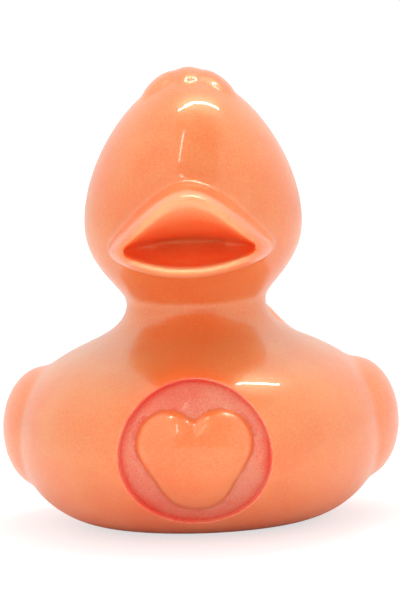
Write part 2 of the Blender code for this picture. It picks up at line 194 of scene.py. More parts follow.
class BathDuckWings(bpy.types.PropertyGroup):
    """Drop-shaped pads on the flanks."""

    front: length("Front", 0.0165, "Front of the wing before the middle")
    rear: length("Rear", 0.0270, "Tip of the wing behind the middle")
    height: length("Height", 0.0240, "Height of the wing at its fullest")
    level: length("Level", 0.0186, "Middle of the wing above the floor")
    lift: length("Lift", 0.0050, "How far the tip rises")
    proud: length("Proud", 0.0031, "How far the wing stands out from the flank")
    splay: length("Splay", 0.0035, "How far the wing stands off behind")
    root: length("Root", 0.0052, "How deep the wing is set into the flank")
    taper: share("Taper", 0.42, "How much the tip narrows")
    blend: IntProperty(name="Blend", description="Smoothing passes that soften the joins",
                       default=12, min=0)


class BathDuckBill(bpy.types.PropertyGroup):
    """Open bill."""

    width: length("Width", 0.0320, "Bill, corner to corner")
    upper_reach: length("Upper Reach", 0.0368, "Upper lip in front of the middle")
    lower_reach: length("Lower Reach", 0.0352, "Lower lip in front of the middle")
    root: length("Root", 0.0170, "Where the bill leaves the head")
    rise: length("Rise", 0.0122, "Height of the upper bill")
    drop: length("Drop", 0.0056, "Depth of the lower bill")
    upturn: length("Upturn", 0.0016, "How far the upper lip turns up")
    arch: share("Arch", 0.90, "How much the upper bill falls to its corners")
    arch_power: FloatProperty(name="Arch Power", default=1.7, min=1.0,
                              description="Below 2 the arch is more like a gable")
    sag: length("Sag", 0.0020, "How far the lower lip dips in the middle")
    lower_lip: length("Lower Lip", 0.0011, "Lower lip above the widest line")
    mouth_level: length("Mouth Level", 0.0564, "Corners of the mouth above the floor")
    mouth_width: length("Mouth Width", 0.0270, "Mouth, corner to corner")
    mouth_gape: length("Mouth Gape", 0.0104, "Height of the open mouth at the lips")
    mouth_dish: length("Mouth Dish", 0.0032, "Depth of the floor of the mouth")
    throat_reach: length("Throat Reach", 0.0185, "Back of the mouth before the middle")
    throat_width: length("Throat Width", 0.0232, "Width at the back of the mouth")
    throat_gap: length("Throat Gap", 0.0014, "Height at the back of the mouth")
    mouth_flare: FloatProperty(name="Mouth Flare", default=2.0, min=1.0,
                               description="Above 1 the roof of the mouth flares at the lips")
    throat_sill: length("Throat Sill", 0.0007, "Rise of the floor at the back of the mouth")
    lip: length("Lip", 0.0020, "Thickness of the lips")
    roll: length("Roll", 0.0036, "How far back from the lips the mouth begins to roll out")
    roll_rise: length("Roll Rise", 0.0016, "How much the roll opens the mouth at the lips")
    rounding: IntProperty(name="Rounding", description="Smoothing passes that round the lips",
                          default=27, min=0)


class BathDuckTuft(bpy.types.PropertyGroup):
    """Curls on the crown."""

    rise: length("Rise", 0.0016, "Height of a curl above the crown")
    width: length("Width", 0.0172, "Width of the tuft")
    root: length("Root", 0.0030, "How deep a curl is set into the crown")
    curl_length: length("Curl Length", 0.0135, "Length of a curl, front to back")
    curls: IntProperty(name="Curls", description="Number of curls", default=3, min=2)
    overlap: FloatProperty(name="Overlap", description="Curl width over curl spacing",
                           default=1.30)
    fan: angle("Fan", 44.0, "Angle between the outer curls")
    fall: share("Fall", 0.05, "How much lower the outer curls are")
    blend: IntProperty(name="Blend", description="Smoothing passes that soften the curls",
                       default=6, min=0)


class BathDuckMedallion(bpy.types.PropertyGroup):
    """Round recess on the chest and the heart that stands in it."""

    width: length("Width", 0.0293, "Recess, side to side")
    tall: length("Length", 0.0286, "Recess, top to bottom")
    height: length("Height", 0.0182, "Middle of the recess above the floor")
    depth: length("Depth", 0.0019, "Depth of the recess")
    draft: length("Draft", 0.0006, "How much the wall of the recess leans out")
    rim: length("Rim", 0.0004, "Rounding at the edge of the recess")
    heart_width: length("Heart Width", 0.0225, "Heart, side to side")
    heart_length: length("Heart Length", 0.0202, "Heart, top to bottom")
    heart_drop: length("Heart Drop", 0.0011, "Middle of the heart below that of the recess")
    lobe_radius: length("Lobe Radius", 0.0064, "Radius of the two lobes")
    tip_radius: length("Tip Radius", 0.0072, "Radius of the tip")
    cleft_radius: length("Cleft Radius", 0.0016, "Radius in the cleft")
    heart_proud: length("Heart Proud", 0.0009, "Heart above the chest")
    heart_draft: length("Heart Draft", 0.0003, "How much the heart's sides lean in")
    heart_rounding: share("Heart Rounding", 0.60, "How far in the heart's edge is rounded")
    heart_fall: length("Heart Fall", 0.0025, "How far down the heart's edge is rounded")


class BathDuckShell(bpy.types.PropertyGroup):
    """Fineness of the skin, and the vent hole."""

    grain: length("Grain", 0.00060, "Spacing of the points of the skin")
    wall: length("Wall", 0.0022, "Thickness of the vinyl")
    vent_diameter: length("Vent", 0.0040, "Diameter of the vent hole in the foot")
    vent_setback: length("Vent Setback", 0.0060, "Vent hole behind the middle")


class BathDuckVinyl(bpy.types.PropertyGroup):
    """Pearl orange vinyl."""

    base: colour("Vinyl", (1.0, 0.155, 0.032, 1.0), "Colour in the body of the vinyl")
    light: colour("Light Vinyl", (1.0, 0.25, 0.080, 1.0), "Colour where the pearl gathers")
    pearl: colour("Pearl", (1.0, 0.88, 0.42, 1.0), "Tint of the pearl sheen")
    pearl_index: FloatProperty(name="Pearl Strength", default=1.92, min=1.0,
                               description="Index that sets how strongly the pearl reflects")
    gloss: share("Gloss", 0.32, "Roughness of the pearl layer")
    # Painted sheen: the lips get a lighter colour in place of the pearl's shine on them, not a
    # colour the vinyl has there
    lip: colour("Lip Vinyl", (1.0, 0.50, 0.270, 1.0), "Colour at the lips, where the vinyl is thin")
    matt: colour("Matt Vinyl", (1.0, 0.125, 0.088, 1.0), "Colour on the matt floor of the recess")
    frosted: share("Frosted", 0.50, "Roughness on the floor of the recess")
    coat: share("Skin", 0.34, "Strength of the smooth outer skin")
    flake: length("Flake", 0.00034, "Size of the pearl flecks")


class BathDuckStudio(bpy.types.PropertyGroup):
    """Camera, lamps and floor."""

    elevation: angle("Elevation", 7.0, "Camera above the horizon")
    turn: angle("Turn", 1.9, "Camera round the duck, to its right side")
    lean: angle("Lean", 2.05, "How far the picture is turned")
    distance: length("Distance", 0.900, "Camera from the duck")
    view_height: length("View Height", 0.1186, "Height of the picture at the duck")
    aim_side: length("Aim Side", 0.00077, "Middle of the picture beside the duck's axis")
    aim_height: length("Aim Height", 0.0430, "Middle of the picture above the floor")
    surround: FloatProperty(name="Surround", default=1.0, min=0.0,
                            description="Brightness of the white surroundings")
    floor: colour("Floor", (0.86, 0.86, 0.86, 1.0), "Colour of the floor")
    strip_power: FloatProperty(name="Strip Power", default=1.5, unit='POWER',
                               description="Power of the strip lamp overhead")
    strip_turn: angle("Strip Turn", 24.5, "Strip lamp about its own axis")
    line_power: FloatProperty(name="Line Power", default=0.3, unit='POWER',
                              description="Power of the thin lamp in front")
    fill_power: FloatProperty(name="Fill Power", default=1.25, unit='POWER',
                              description="Power of the soft fill in front")
    gap_middle: FloatProperty(name="Gap Middle", default=0.17, min=-1.0, max=1.0,
                              description="Sideways share of the direction of the gap's middle")
    gap_half: share("Gap Half", 0.43, "Half the width of the gap between the screens")
    gap_shade: share("Gap Shade", 0.48, "How much darker the gap is than the screens")


class BathDuckSettings(bpy.types.PropertyGroup):
    """All the sizes and finishes of the duck and its studio."""

    hull: PointerProperty(type=BathDuckHull, name="Hull", description="Body and head")
    wings: PointerProperty(type=BathDuckWings, name="Wings", description="Wings")
    bill: PointerProperty(type=BathDuckBill, name="Bill", description="Open bill")
    tuft: PointerProperty(type=BathDuckTuft, name="Tuft", description="Tuft of curls")
    medallion: PointerProperty(type=BathDuckMedallion, name="Medallion",
                               description="Recess and heart")
    shell: PointerProperty(type=BathDuckShell, name="Shell", description="Skin and vent")
    vinyl: PointerProperty(type=BathDuckVinyl, name="Vinyl", description="Finish")
    studio: PointerProperty(type=BathDuckStudio, name="Studio", description="Studio")


def cubic(start, start_handle, end_handle, end, steps):
    """Points of a cubic curve after its start, from handles given relative to the ends."""
    p0, p3 = np.array(start), np.array(end)
    p1, p2 = p0 + np.array(start_handle), p3 + np.array(end_handle)
    t = np.linspace(0.0, 1.0, steps + 1)[1:, None]
    u = 1.0 - t
    return u ** 3 * p0 + 3 * u ** 2 * t * p1 + 3 * u * t ** 2 * p2 + t ** 3 * p3


def bowl(edge, belly, flatness, fullness, steps):
    """From the edge of the foot, level, out and up to the widest point, upright."""
    out, rise = belly[0] - edge[0], belly[1] - edge[1]
    return cubic(edge, (flatness * out, 0.0), (0.0, -fullness * rise), belly, steps)


def sweep(lower, upper, low_share, high_share, steps):
    """Between two upright points, as at a shoulder or under a chin."""
    rise = upper[1] - lower[1]
    return cubic(lower, (0.0, low_share * rise), (0.0, -high_share * rise), upper, steps)


def dome(widest, top, side_share, top_share, steps):
    """From an upright point at the widest level over to the level top in the middle."""
    rise = top[1] - widest[1]
    return cubic(widest, (0.0, side_share * rise), (top_share * widest[0], 0.0), top, steps)


def meridian(foot, belly, neck, head, crown, bowl_shares, shoulder_shares, dome_shares):
    """Reach and height from the middle of the foot up to the crown."""
    rings = SPAN_RINGS
    climb = rings["underside"] + rings["shoulder"] + rings["saddle"]
    edge = (foot, 0.0)
    return np.vstack([
        [(0.0, 0.0), edge],
        bowl(edge, belly, *bowl_shares, rings["foot"]),
        sweep(belly, neck, *shoulder_shares, climb),
        sweep(neck, head, *THROAT, rings["neck"]),
        dome(head, (0.0, crown), *dome_shares, rings["head"]),
    ])


def hull_meridians(hull):
    """The four meridians of the hull: side, front, back and tail."""
    crown = hull.crown_height
    neck = (hull.neck_reach, hull.neck_height)
    rump = (hull.rump_reach, hull.rump_height)
    side = meridian(hull.foot_width / 2, (hull.flank_width / 2, hull.flank_height),
                    (hull.neck_width / 2, hull.neck_height),
                    (hull.head_width / 2, hull.head_height), crown,
                    SIDE_BOWL, SIDE_SHOULDER, SIDE_DOME)
    front = meridian(hull.foot_front, (hull.chest_reach, hull.chest_height), neck,
                     (hull.face_reach, hull.face_height), crown, FRONT_BOWL, CHEST, FACE_DOME)
    back = meridian(hull.foot_rear, rump, neck, (hull.poll_reach, hull.poll_height), crown,
                    REAR_BOWL, BACK, FACE_DOME)
    tip = (hull.tail_reach, hull.tail_height)
    saddle = (hull.saddle_reach, hull.saddle_height)
    forward = SADDLE_LENGTH * (tip[0] - saddle[0])
    turn = NAPE_TURN * (saddle[0] - neck[0])
    climb = NAPE_CLIMB * (neck[1] - saddle[1])
    over = np.vstack([
        sweep(rump, tip, *TAIL_UNDERSIDE, SPAN_RINGS["underside"]),
        cubic(tip, (0.0, hull.tail_curl), (forward, 0.0), saddle, SPAN_RINGS["shoulder"]),
        cubic(saddle, (-turn, 0.0), (0.0, -climb), neck, SPAN_RINGS["saddle"]),
    ])
    tail = back.copy()
    start = 2 + SPAN_RINGS["foot"]
    tail[start:start + len(over)] = over
    return side, front, back, tail


def hull_rings(hull):
    """Rings of the loft: each passes through the side, front, back and tail meridians."""
    turn = np.linspace(0.0, 2 * math.pi, RING_POINTS, endpoint=False)
    cosine, sine = np.cos(turn), np.sin(turn)
    to_rear = sine > 0
    rings = []
    for side, front, back, tail in zip(*hull_meridians(hull)):
        x = side[0] * cosine
        flank = 1.0 + (2 * x / hull.tail_width) ** TAIL_SQUARENESS
        ridge = np.where(to_rear, sine ** 2 / flank, 0.0)
        reach = np.where(to_rear, back[0], front[0]) + (tail[0] - back[0]) * ridge
        height = np.where(to_rear, back[1], front[1]) - side[1]
        z = side[1] + height * sine ** 2 + (tail[1] - back[1]) * ridge
        rings.append(np.column_stack([x, reach * sine, z]))
    return rings


def lofted_mesh(name, rings):
    """Closed mesh through rings of points whose first and last rings close on a point."""
    mesh = bmesh.new()
    first = mesh.verts.new(rings[0].mean(axis=0))
    last = mesh.verts.new(rings[-1].mean(axis=0))
    loops = [[mesh.verts.new(point) for point in ring] for ring in rings[1:-1]]
    count = len(loops[0])
    for i in range(count):
        j = (i + 1) % count
        mesh.faces.new((first, loops[0][j], loops[0][i]))
        mesh.faces.new((last, loops[-1][i], loops[-1][j]))
        for lower, upper in zip(loops, loops[1:]):
            mesh.faces.new((lower[i], lower[j], upper[j], upper[i]))
    return finished_mesh(name, mesh)


def finished_mesh(name, mesh):
    """A bmesh as a mesh with its normals out; the bmesh is freed."""
    bmesh.ops.recalc_face_normals(mesh, faces=mesh.faces)
    data = bpy.data.meshes.new(name)
    mesh.to_mesh(data)
    mesh.free()
    return data


def shaped_ball(name, shape, segments, rows):
    """A round ball whose points are moved by a function of their place on the ball."""
    mesh = bmesh.new()
    bmesh.ops.create_uvsphere(mesh, u_segments=segments, v_segments=rows, radius=1.0)
    for vert in mesh.verts:
        vert.co = shape(vert.co.copy())
    return finished_mesh(name, mesh)


def wing_shape(duck, side):
    """Drop-shaped pad along the flank, blunt in front, with a lifted tip behind."""
    hull, wings = duck.hull, duck.wings
    middle = (wings.rear - wings.front) / 2
    half = (wings.rear + wings.front) / 2

    def place(ball):
        along = ball.z
        y = middle + half * along
        reach = hull.chest_reach if y < 0 else hull.rump_reach + wings.splay
        flank = hull.flank_width / 2 * math.sqrt(max(0.0, 1.0 - (y / reach) ** 2))
        taper = 1.0 - wings.taper * max(0.0, along) ** WING_TAPER_POWER
        x = flank - wings.root + ball.x * (wings.root + wings.proud) * taper
        z = wings.level + wings.lift * max(0.0, along) ** 2 + ball.y * wings.height / 2 * taper
        return Vector((side * x, y, z))

    return place


def bill_shape(bill):
    """Wide bill: an arched top with an upturned lip, and below it a lip that sags."""
    def place(ball):
        power = BILL_SQUARENESS_ABOVE if ball.z > 0 else BILL_SQUARENESS_BELOW
        height = max(0.0, 1.0 - math.hypot(ball.x, ball.y) ** power) ** (1.0 / power)
        equator = bill.mouth_level - bill.lower_lip - bill.sag * (1.0 - ball.x ** 2)
        reach = bill.upper_reach if ball.z > 0 else bill.lower_reach
        if abs(ball.z) < EQUATOR:
            reach = max(bill.upper_reach, bill.lower_reach)
        if ball.z > 0:
            rise = bill.rise + bill.upturn * max(0.0, -ball.y) ** 2
            fallen = bill.arch * abs(ball.x) ** bill.arch_power
            face = bill.mouth_level + rise * (1.0 - fallen)
        else:
            face = bill.mouth_level - bill.drop * (1.0 - BILL_UNDERCUT * ball.x ** 2)
        return Vector((ball.x * bill.width / 2, -bill.root + ball.y * (reach - bill.root),
                       equator + height * (face - equator)))

    return place


def mouth_rings(bill):
    """Rings of the open mouth, from the throat forward past the lips."""
    lips = bill.upper_reach - bill.lip
    lower_lip = bill.lower_reach - bill.lip
    corners = bill.root + MOUTH_CORNERS * (bill.lower_reach - bill.root)
    marks = (bill.throat_reach, corners, (corners + lower_lip) / 2, lower_lip,
             bill.upper_reach + MOUTH_PAST_LIPS)
    dishes = (-bill.throat_sill, bill.mouth_dish, bill.mouth_dish, bill.sag, bill.sag)
    reaches = np.linspace(marks[0], marks[-1], MOUTH_RINGS)
    stations = zip(reaches, np.interp(reaches, marks, dishes))
    across = np.linspace(1.0, -1.0, MOUTH_POINTS)
    rings = []
    for reach, dish in stations:
        widened = min(1.0, max(0.0, (reach - bill.throat_reach) / (corners - bill.throat_reach)))
        width = bill.throat_width + (bill.mouth_width - bill.throat_width) * widened
        opened = ((reach - bill.throat_reach) / (lips - bill.throat_reach)) ** bill.mouth_flare
        gape = bill.throat_gap + (bill.mouth_gape - bill.throat_gap) * opened
        rolled = bill.roll_rise * (max(0.0, reach - lips + bill.roll) / bill.roll) ** 2
        sunk = bill.roll_rise * (max(0.0, reach - lower_lip + bill.roll) / bill.roll) ** 2
        gape += min(rolled, 2 * bill.roll_rise)
        dish += min(sunk, bill.roll_rise) / 2
        width += min(rolled, bill.roll_rise)
        roof = np.column_stack([across, gape * (1.0 - np.abs(across) ** MOUTH_ROUNDNESS)])
        floor = np.column_stack([-across, -dish * (1.0 - across ** 2)])[1:-1]
        outline = np.vstack([roof, floor])
        ring = np.column_stack([outline[:, 0] * width / 2, np.full(len(outline), -reach),
                                bill.mouth_level + outline[:, 1]])
        rings.append(ring)
    return [rings[0]] + rings + [rings[-1]]


def curl_shape(tuft, index, skin):
    """One soft curl lying on the crown; the curls spread towards the front."""
    place_share = index / (tuft.curls - 1) - 0.5
    lean = tuft.fan * place_share
    width = tuft.overlap * tuft.width / tuft.curls
    middle = place_share * (tuft.width - width)
    rise = tuft.rise * (1.0 - tuft.fall * (2 * place_share) ** 2)

    def place(ball):
        along, across = ball.y * tuft.curl_length / 2, ball.x * width / 2
        x = middle + across * math.cos(lean) - along * math.sin(lean)
        y = across * math.sin(lean) + along * math.cos(lean)
        crown = skin.ray_cast(Vector((x, y, 1.0)), Vector((0.0, 0.0, -1.0)))[0].z
        return Vector((x, y, crown + ball.z * (rise if ball.z > 0 else tuft.root)))

    return place


def arc(centre, radius, start, end):
    """Points along an arc, angles in radians."""
    return [(centre[0] + radius * math.cos(a), centre[1] + radius * math.sin(a))
            for a in np.linspace(start, end, ARC_STEPS)]


def evenly(points, count):
    """The same closed outline, with points at equal steps along it."""
    loop = np.array(points + [points[0]])
    steps = np.linalg.norm(np.diff(loop, axis=0), axis=1)
    run = np.concatenate([[0.0], np.cumsum(steps)])
    marks = np.linspace(0.0, run[-1], count, endpoint=False)
    return np.column_stack([np.interp(marks, run, loop[:, k]) for k in (0, 1)])


def heart_outline(medallion):
    """Heart of two round lobes, a rounded tip and a filleted cleft, about its middle."""
    lobe_radius, tip_radius = medallion.lobe_radius, medallion.tip_radius
    cleft_radius = medallion.cleft_radius
    lobe_x = medallion.heart_width / 2 - lobe_radius
    lobe_z = medallion.heart_length / 2 - lobe_radius
    tip_z = tip_radius - medallion.heart_length / 2
    cleft_z = lobe_z + math.sqrt((lobe_radius + cleft_radius) ** 2 - lobe_x ** 2)
    cleft = math.atan2(cleft_z - lobe_z, -lobe_x)
    slope = math.atan2(lobe_z - tip_z, lobe_x)
    side = slope - math.acos((tip_radius - lobe_radius) / math.hypot(lobe_x, lobe_z - tip_z))
    right = (arc((0.0, cleft_z), cleft_radius, -math.pi / 2, cleft - math.pi)
             + arc((lobe_x, lobe_z), lobe_radius, cleft, side)
             + arc((0.0, tip_z), tip_radius, side, -math.pi / 2))
    left = [(-x, z) for x, z in reversed(right)]
    return evenly(right + left, RELIEF_POINTS)


def inward(outline, distance):
    """The outline moved in by a distance, by drawing each point towards the middle."""
    return outline * (1.0 - distance / np.linalg.norm(outline, axis=1, keepdims=True))


def chest_relief(name, skin, middle, levels):
    """Solid that follows the chest. Each level is an outline and its height above it."""
    rings = []
    for outline, height in levels:
        ring = []
        for x, z in outline:
            hit = skin.ray_cast(Vector((x, -1.0, middle + z)), Vector((0.0, 1.0, 0.0)))[0]
            ring.append((x, hit.y - height, middle + z))
        rings.append(np.array(ring))
    return lofted_mesh(name, rings)


def recess_levels(medallion):
    """From the floor of the recess up its leaning wall, over the rounded rim and out."""
    turns = np.linspace(0.0, 2 * math.pi, RELIEF_POINTS, endpoint=False)
    rim = np.column_stack([medallion.width / 2 * np.cos(turns),
                           medallion.tall / 2 * np.sin(turns)])
    floor = inward(rim, medallion.draft)
    spread = np.linspace(0.0, 1.0, RECESS_RINGS)
    levels = [(floor * part, -medallion.depth) for part in spread]
    for lean in np.radians(RIM_LEANS):
        out = medallion.rim * (1.0 - math.cos(lean)) - medallion.draft / 4
        levels.append((inward(rim, -out), -medallion.rim * (1.0 - math.sin(lean))))
    clear = medallion.depth
    for part in (0.25, 0.5, 1.0):
        levels.append((inward(rim, -medallion.rim - part * clear), part * clear))
    levels.append((levels[-1][0], 3 * clear))
    return levels + [(rim * 0.5, 3 * clear), (rim * 0.0, 3 * clear)]


def heart_levels(medallion, wall):
    """From inside the wall up the heart's sides, over its rounded edge to its crest."""
    base = heart_outline(medallion)
    edge = inward(base, medallion.heart_draft)
    root = -medallion.depth - wall / 2
    levels = [(base * part, root) for part in (0.0, 0.5, 1.0)]
    levels.append((base, -medallion.depth))
    for turn in np.linspace(0.0, math.pi / 2, HEART_RINGS):
        height = medallion.heart_proud - medallion.heart_fall * (1.0 - math.sin(turn))
        crown = 1.0 - medallion.heart_rounding * (1.0 - math.cos(turn))
        levels.append((edge * crown, height))
    crest = levels[-1][0]
    inner = np.linspace(1.0, 0.0, CREST_RINGS)[1:]
    return levels + [(crest * part, medallion.heart_proud) for part in inner]


def part_hollow(shell):
    """The hollow of the part's own solid, closed where the vent hole enters it."""
    mesh = bmesh.new()
    mesh.from_mesh(PART.data)
    bmesh.ops.remove_doubles(mesh, verts=mesh.verts, dist=WELD)
    reach = 1.1 * shell.vent_diameter / 2
    axis = Vector((0.0, shell.vent_setback, 0.0))
    bore = [face for face in mesh.faces
            if all(math.hypot(v.co.x - axis.x, v.co.y - axis.y) < reach for v in face.verts)]
    bmesh.ops.delete(mesh, geom=bore, context='FACES_ONLY')
    outside = max(mesh.verts, key=lambda v: v.co.z)
    seen, edge = {outside}, [outside]
    while edge:
        vert = edge.pop()
        for link in vert.link_edges:
            other = link.other_vert(vert)
            if link.link_faces and other not in seen:
                seen.add(other)
                edge.append(other)
    bmesh.ops.delete(mesh, geom=list(seen), context='VERTS')
    loose = [vert for vert in mesh.verts if not vert.link_faces]
    bmesh.ops.delete(mesh, geom=loose, context='VERTS')
    bmesh.ops.holes_fill(mesh, edges=[e for e in mesh.edges if e.is_boundary], sides=0)
    return finished_mesh("hollow", mesh)


def new_object(name, data):
    """A mesh as a named object in the scene."""
    thing = bpy.data.objects.new(name, data)
    bpy.context.scene.collection.objects.link(thing)
    return thing


def settle(thing):
    """Take the modifiers of an object into its mesh."""
    graph = bpy.context.evaluated_depsgraph_get()
    data = bpy.data.meshes.new_from_object(thing.evaluated_get(graph), depsgraph=graph)
    old = thing.data
    thing.modifiers.clear()
    thing.data = data
    if old.users == 0:
        bpy.data.meshes.remove(old)


def combine(target, data, operation, finish):
    """Join a mesh to the target or cut it away; its faces bring their finish."""
    tool = new_object("tool", data)
    data.materials.append(finish)
    step = target.modifiers.new(operation.lower(), 'BOOLEAN')
    step.object = tool
    step.operation = operation
    step.solver = 'EXACT'
    step.material_mode = 'TRANSFER'
    settle(target)
    bpy.data.objects.remove(tool)
    bpy.data.meshes.remove(data)


def merge(target, meshes):
    """Add closed meshes to the target's own; a remesh then makes one skin of them."""
    mesh = bmesh.new()
    mesh.from_mesh(target.data)
    for data in meshes:
        mesh.from_mesh(data)
        bpy.data.meshes.remove(data)
    mesh.to_mesh(target.data)
    mesh.free()


def reskin(target, grain, passes):
    """One even skin over all that the mesh holds, smoothed a number of times."""
    skin = target.modifiers.new("skin", 'REMESH')
    skin.mode = 'VOXEL'
    skin.voxel_size = grain
    smooth = target.modifiers.new("smooth", 'SMOOTH')
    smooth.factor = SMOOTHING
    smooth.iterations = passes
    settle(target)


def round_lips(target, bill):
    """Smooth the bill alone, fading out towards the head."""
    group = target.vertex_groups.new(name="bill")
    fade = LIP_FADE
    top, bottom = bill.mouth_level + bill.rise + bill.upturn, bill.mouth_level - bill.drop
    for vert in target.data.vertices:
        ahead = (-vert.co.y - bill.root - fade) / fade
        above = (vert.co.z - bottom + fade) / fade
        below = (top + fade - vert.co.z) / fade
        weight = min(1.0, ahead, above, below)
        if weight > 0.0:
            group.add([vert.index], weight, 'REPLACE')
    smooth = target.modifiers.new("lips", 'SMOOTH')
    smooth.factor = SMOOTHING
    smooth.iterations = bill.rounding
    smooth.vertex_group = group.name
    settle(target)
    target.vertex_groups.clear()


def surface_tree(data):
    """A mesh as a tree that rays can be cast on."""
    mesh = bmesh.new()
    mesh.from_mesh(data)
    tree = BVHTree.FromBMesh(mesh)
    mesh.free()
    return tree


class Nodes:
    """Short calls for laying out a node tree."""

    def __init__(self, tree):
        self.tree = tree
        tree.nodes.clear()

    def add(self, kind, inputs, **settings):
        """A node; each input named is given a value or an output to follow."""
        node = self.tree.nodes.new(kind)
        for key, value in settings.items():
            setattr(node, key, value)
        for key, value in inputs.items():
            if isinstance(value, bpy.types.NodeSocket):
                self.tree.links.new(value, node.inputs[key])
            else:
                node.inputs[key].default_value = value
        return node

    def maths(self, operation, *values):
        """Result of an operation on numbers and outputs."""
        node = self.add("ShaderNodeMath", dict(enumerate(values)), operation=operation)
        return node.outputs["Value"]

    def ramp(self, value, zero_at, one_at):
        """Rise from 0 to 1 as a value goes from one level to another."""
        inputs = {"Value": value, "From Min": zero_at, "From Max": one_at}
        return self.add("ShaderNodeMapRange", inputs).outputs["Result"]

    def noise(self, place, scale, detail):
        """Soft random pattern."""
        inputs = {"Vector": place, "Scale": scale, "Detail": detail}
        return self.add("ShaderNodeTexNoise", inputs).outputs["Fac"]

    def mix(self, factor, first, second):
        """Blend of two colours."""
        inputs = {"Factor": factor, "A": first, "B": second}
        return self.add("ShaderNodeMix", inputs, data_type='RGBA').outputs["Result"]

    def bump(self, inputs):
        """Surface relief."""
        return self.add("ShaderNodeBump", inputs).outputs["Normal"]


def pearl_vinyl(vinyl):
    """The duck's own finish."""
    tones = (vinyl.base, vinyl.light)
    return vinyl_material("pearl_vinyl", vinyl, tones, PEARL_SPAN, vinyl.gloss, 0.0, vinyl.coat)


def frosted_vinyl(vinyl):
    """The finish of the recess, which the mould leaves matt and grainy."""
    tones = (vinyl.matt, tuple(min(1.0, FROSTED_LIGHTER * part) for part in vinyl.matt))
    return vinyl_material("frosted_vinyl", vinyl, tones, FROSTED_SPAN, vinyl.frosted,
                          FROSTED_TOOTH, FROSTED_COAT)


def vinyl_material(name, vinyl, tones, span, roughness, tooth, coat):
    """Vinyl with a warm pearl sheen in flecks and a smooth outer skin, with a painted sheen that
    makes the lips paler.
    """
    material = bpy.data.materials.new(name)
    material.use_nodes = True
    nodes = Nodes(material.node_tree)
    place = nodes.add("ShaderNodeTexCoord", {}).outputs["Object"]
    flecks = nodes.noise(place, 1.0 / vinyl.flake, 2.0)
    clouds = nodes.noise(place, CLOUDS_PER_METRE, 3.0)
    ripple = nodes.noise(place, RIPPLES_PER_METRE, 1.0)
    gathered = nodes.ramp(nodes.maths('MULTIPLY_ADD', flecks, FLECK_WEIGHT, clouds), *span)
    tone = nodes.mix(gathered, *tones)
    wave = nodes.bump({"Height": ripple, "Strength": RIPPLE_STRENGTH, "Distance": RIPPLE_HEIGHT})
    grain = nodes.bump({"Height": flecks, "Strength": tooth, "Distance": TOOTH_HEIGHT,
                        "Normal": wave})
    shader = nodes.add("ShaderNodeBsdfPrincipled", {
        # Painted sheen: the base colour turns lighter at the lips
        "Base Color": nodes.mix(painted_lip_sheen(nodes, place), tone, vinyl.lip),
        "Roughness": roughness,
        "IOR": vinyl.pearl_index,
        "Specular Tint": vinyl.pearl,
        "Coat Weight": coat,
        "Coat Roughness": COAT_ROUGHNESS,
        "Coat IOR": COAT_INDEX,
        "Subsurface Weight": DEPTH_WEIGHT,
        "Subsurface Radius": DEPTH_RADIUS,
        "Subsurface Scale": DEPTH_SCALE,
        "Normal": grain,
    })
    nodes.add("ShaderNodeOutputMaterial", {"Surface": shader.outputs["BSDF"]})
    return material


def painted_lip_sheen(nodes, place):
    """Where the painted sheen lies on the lips: 1 at the lips, fading to 0 behind and below them.
    """
    apart = nodes.add("ShaderNodeSeparateXYZ", {"Vector": place})
    ahead = nodes.ramp(apart.outputs["Y"], LIP_BACK, LIP_FRONT)
    raised = nodes.ramp(apart.outputs["Z"], LIP_UNDER, LIP_OVER)
    return nodes.maths('MULTIPLY', ahead, raised)


def duck_piece():
    """The duck as built so far, or an error that says what to build first."""
    duck = bpy.data.objects.get("vinyl_duck")
    if duck is None:
        raise RuntimeError("Build the duck's form first")
    return duck


class BATHDUCK_OT_form(bpy.types.Operator):
    """Build hull, wings and bill as one form with soft joins."""

    bl_idname = "bathduck.form"
    bl_label = "Form"

    def execute(self, context):
        """Loft the hull, set the wings and the bill on it, and blend them."""
        settings = context.scene.bath_duck
        duck = new_object("vinyl_duck", lofted_mesh("vinyl_duck", hull_rings(settings.hull)))
        duck.data.materials.append(pearl_vinyl(settings.vinyl))
        wings = [shaped_ball("wing", wing_shape(settings, side), *WING_BALL) for side in (1, -1)]
        bill = shaped_ball("bill", bill_shape(settings.bill), *BILL_BALL)
        merge(duck, wings + [bill])
        reskin(duck, settings.shell.grain, settings.wings.blend)
        return {'FINISHED'}


class BATHDUCK_OT_mouth_and_tuft(bpy.types.Operator):
    """Open the mouth and lay the curls on the crown."""

    bl_idname = "bathduck.mouth_and_tuft"
    bl_label = "Mouth and Tuft"

    def execute(self, context):
        """Cut the mouth, add the curls, and round the lips."""
        settings = context.scene.bath_duck
        duck = duck_piece()
        skin = surface_tree(duck.data)
        pearl = duck.data.materials[0]
        combine(duck, lofted_mesh("mouth", mouth_rings(settings.bill)), 'DIFFERENCE', pearl)
        curls = [shaped_ball("curl", curl_shape(settings.tuft, index, skin), *CURL_BALL)
                 for index in range(settings.tuft.curls)]
        merge(duck, curls)
        reskin(duck, settings.shell.grain, settings.tuft.blend)
        round_lips(duck, settings.bill)
        return {'FINISHED'}


class BATHDUCK_OT_medallion(bpy.types.Operator):
    """Cut the recess into the chest and raise the heart in it."""

    bl_idname = "bathduck.medallion"
    bl_label = "Medallion"

    def execute(self, context):
        """The recess gets a frosted floor, the heart the finish of the duck."""
        settings = context.scene.bath_duck
        medallion, vinyl = settings.medallion, settings.vinyl
        duck = duck_piece()
        skin = surface_tree(duck.data)
        recess = chest_relief("recess", skin, medallion.height, recess_levels(medallion))
        middle = medallion.height - medallion.heart_drop
        levels = heart_levels(medallion, settings.shell.wall)
        heart = chest_relief("heart", skin, middle, levels)
        combine(duck, recess, 'DIFFERENCE', frosted_vinyl(vinyl))
        combine(duck, heart, 'UNION', duck.data.materials[0])
        return {'FINISHED'}


